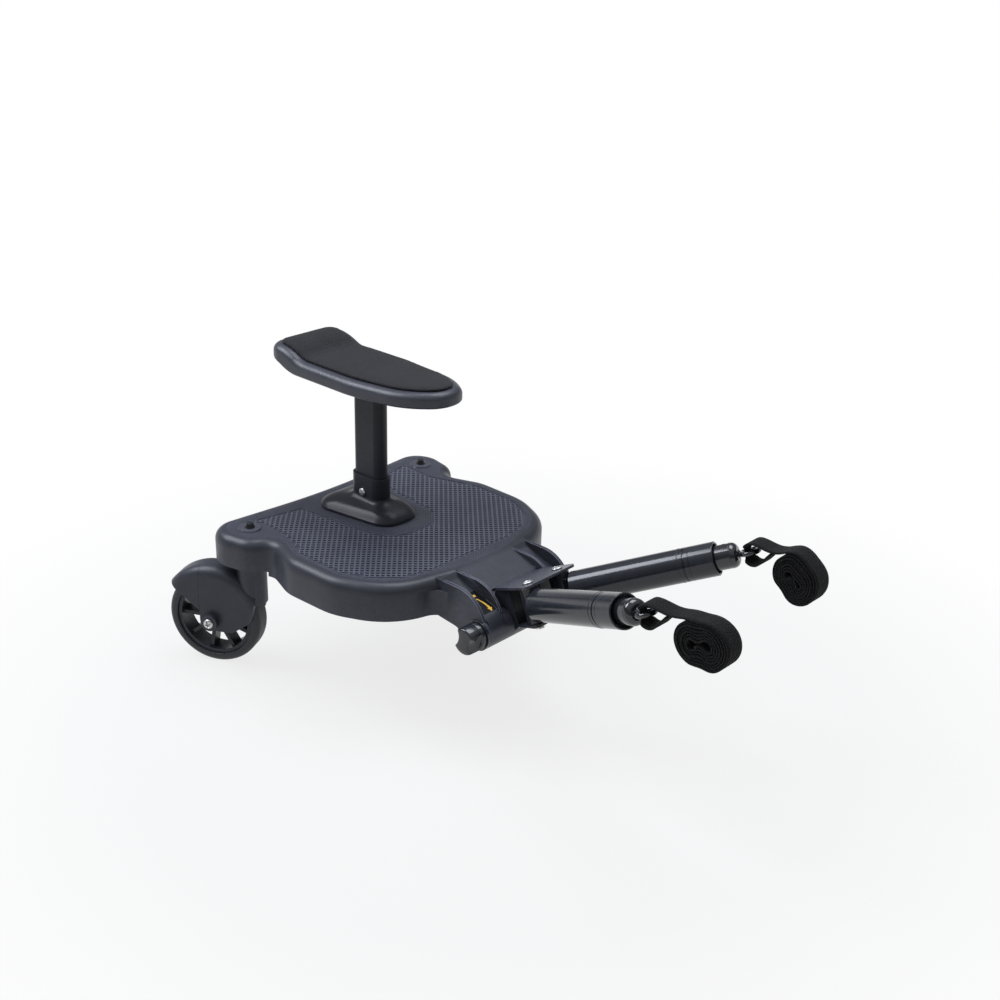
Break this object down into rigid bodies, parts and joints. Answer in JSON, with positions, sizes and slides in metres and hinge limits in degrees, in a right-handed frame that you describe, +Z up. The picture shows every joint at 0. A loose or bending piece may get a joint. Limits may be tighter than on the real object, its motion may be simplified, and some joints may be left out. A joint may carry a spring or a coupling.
{
  "type": "buggy board with seat",
  "caption": "Ride-on board for a stroller with a studded deck, swivelling wheels, a padded seat on a post, and hinged telescopic arms ending in rolled fixing straps.",
  "frame": {"origin": "middle of the bounding box in plan, on the floor", "axes": "+X from the deck towards the arms, +Y to the left side, +Z up"},
  "size_m": [0.7852, 0.4294, 0.403],
  "materials": {
    "deck_plastic": "satin moulded, with a studded field on top",
    "caster_plastic": "satin moulded",
    "post_plastic": "satin moulded",
    "seat_plastic": "satin moulded",
    "seat_fabric": "flat fine-grained cover",
    "tyre_rubber": "smooth tread",
    "rim_plastic": "satin moulded",
    "steel": "plain",
    "zinc_steel": "bright zinc",
    "black_steel": "dark coated",
    "bearing_plastic": "plain",
    "knob_plastic": "glossy",
    "bracket_plastic": "half gloss",
    "tube_plastic": "glossy",
    "rod_plastic": "glossy",
    "strap_webbing": "woven webbing with a hook side"
  },
  "bodies": {
    "deck": {"deck_shell": "deck_plastic", "swivel_bush_right": "bearing_plastic", "swivel_bush_left": "bearing_plastic", "swivel_washer_right": "black_steel", "swivel_washer_left": "black_steel", "post_socket": "post_plastic", "socket_screws": "zinc_steel", "post_lock_screw": "zinc_steel", "seat_post": "post_plastic", "seat_shell": "seat_plastic", "seat_pad": "seat_fabric", "seat_screws": "zinc_steel", "hinge_nut": "steel"},
    "caster_right": {"caster_fork_right": "caster_plastic", "fork_cover_right": "caster_plastic", "kingpin_right": "steel", "cap_screw_right": "black_steel", "axle_bolt_right": "zinc_steel", "axle_nut_right": "steel"},
    "wheel_right": {"wheel_rim_right": "rim_plastic", "wheel_tyre_right": "tyre_rubber", "wheel_bearings_right": "steel"},
    "caster_left": {"caster_fork_left": "caster_plastic", "fork_cover_left": "caster_plastic", "kingpin_left": "steel", "cap_screw_left": "black_steel", "axle_bolt_left": "zinc_steel", "axle_nut_left": "steel"},
    "wheel_left": {"wheel_rim_left": "rim_plastic", "wheel_tyre_left": "tyre_rubber", "wheel_bearings_left": "steel"},
    "bracket": {"arm_bracket": "bracket_plastic", "bracket_plate": "bracket_plastic", "pivot_screws": "zinc_steel", "pivot_nuts": "steel", "friction_discs": "bracket_plastic"},
    "knob": {"hinge_knob": "knob_plastic", "knob_washer": "knob_plastic", "hinge_bolt": "steel"},
    "arm_right": {"arm_tube_right": "tube_plastic"},
    "collar_right": {"twist_collar_right": "tube_plastic"},
    "rod_right": {"arm_rod_right": "rod_plastic", "rod_eye_right": "rod_plastic", "strap_right": "strap_webbing"},
    "arm_left": {"arm_tube_left": "tube_plastic"},
    "collar_left": {"twist_collar_left": "tube_plastic"},
    "rod_left": {"arm_rod_left": "rod_plastic", "rod_eye_left": "rod_plastic", "strap_left": "strap_webbing"}
  },
  "joints": [
    {"name": "caster_swivel_right", "type": "hinge", "parent": "deck", "child": "caster_right", "pos_m": [-0.28746, -0.15, 0.152], "axis": [0, 0, 1], "continuous": true},
    {"name": "wheel_spin_right", "type": "hinge", "parent": "caster_right", "child": "wheel_right", "pos_m": [-0.33201, -0.1727, 0.063], "axis": [0.454, -0.891, 0], "continuous": true},
    {"name": "caster_swivel_left", "type": "hinge", "parent": "deck", "child": "caster_left", "pos_m": [-0.28746, 0.15, 0.152], "axis": [0, 0, 1], "continuous": true},
    {"name": "wheel_spin_left", "type": "hinge", "parent": "caster_left", "child": "wheel_left", "pos_m": [-0.33201, 0.1727, 0.063], "axis": [0.454, 0.891, 0], "continuous": true},
    {"name": "bracket_tilt", "type": "hinge", "parent": "deck", "child": "bracket", "pos_m": [0.04154, 0, 0.142], "axis": [0, -1, 0], "range_deg": [-45, 0]},
    {"name": "knob_turn", "type": "hinge", "parent": "deck", "child": "knob", "pos_m": [0.04154, 0, 0.142], "axis": [0, -1, 0], "range_deg": [0, 360]},
    {"name": "arm_swing_right", "type": "hinge", "parent": "bracket", "child": "arm_right", "pos_m": [0.08059, -0.026, 0.17723], "axis": [-0.4067, 0, 0.9135], "range_deg": [-29.7, 15.3]},
    {"name": "collar_twist_right", "type": "hinge", "parent": "arm_right", "child": "collar_right", "pos_m": [0.22378, -0.06888, 0.24098], "axis": [0.8812, -0.2639, 0.3923], "range_deg": [0, 120]},
    {"name": "rod_slide_right", "type": "slide", "parent": "arm_right", "child": "rod_right", "axis": [0.8812, -0.2639, 0.3923], "range_m": [-0.018, 0.06]},
    {"name": "arm_swing_left", "type": "hinge", "parent": "bracket", "child": "arm_left", "pos_m": [0.08059, 0.026, 0.17723], "axis": [-0.4067, 0, 0.9135], "range_deg": [-24, 21]},
    {"name": "collar_twist_left", "type": "hinge", "parent": "arm_left", "child": "collar_left", "pos_m": [0.21621, 0.09209, 0.23761], "axis": [0.8346, 0.4067, 0.3716], "range_deg": [0, 120]},
    {"name": "rod_slide_left", "type": "slide", "parent": "arm_left", "child": "rod_left", "axis": [0.8346, 0.4067, 0.3716], "range_m": [-0.018, 0.06]}
  ]
}
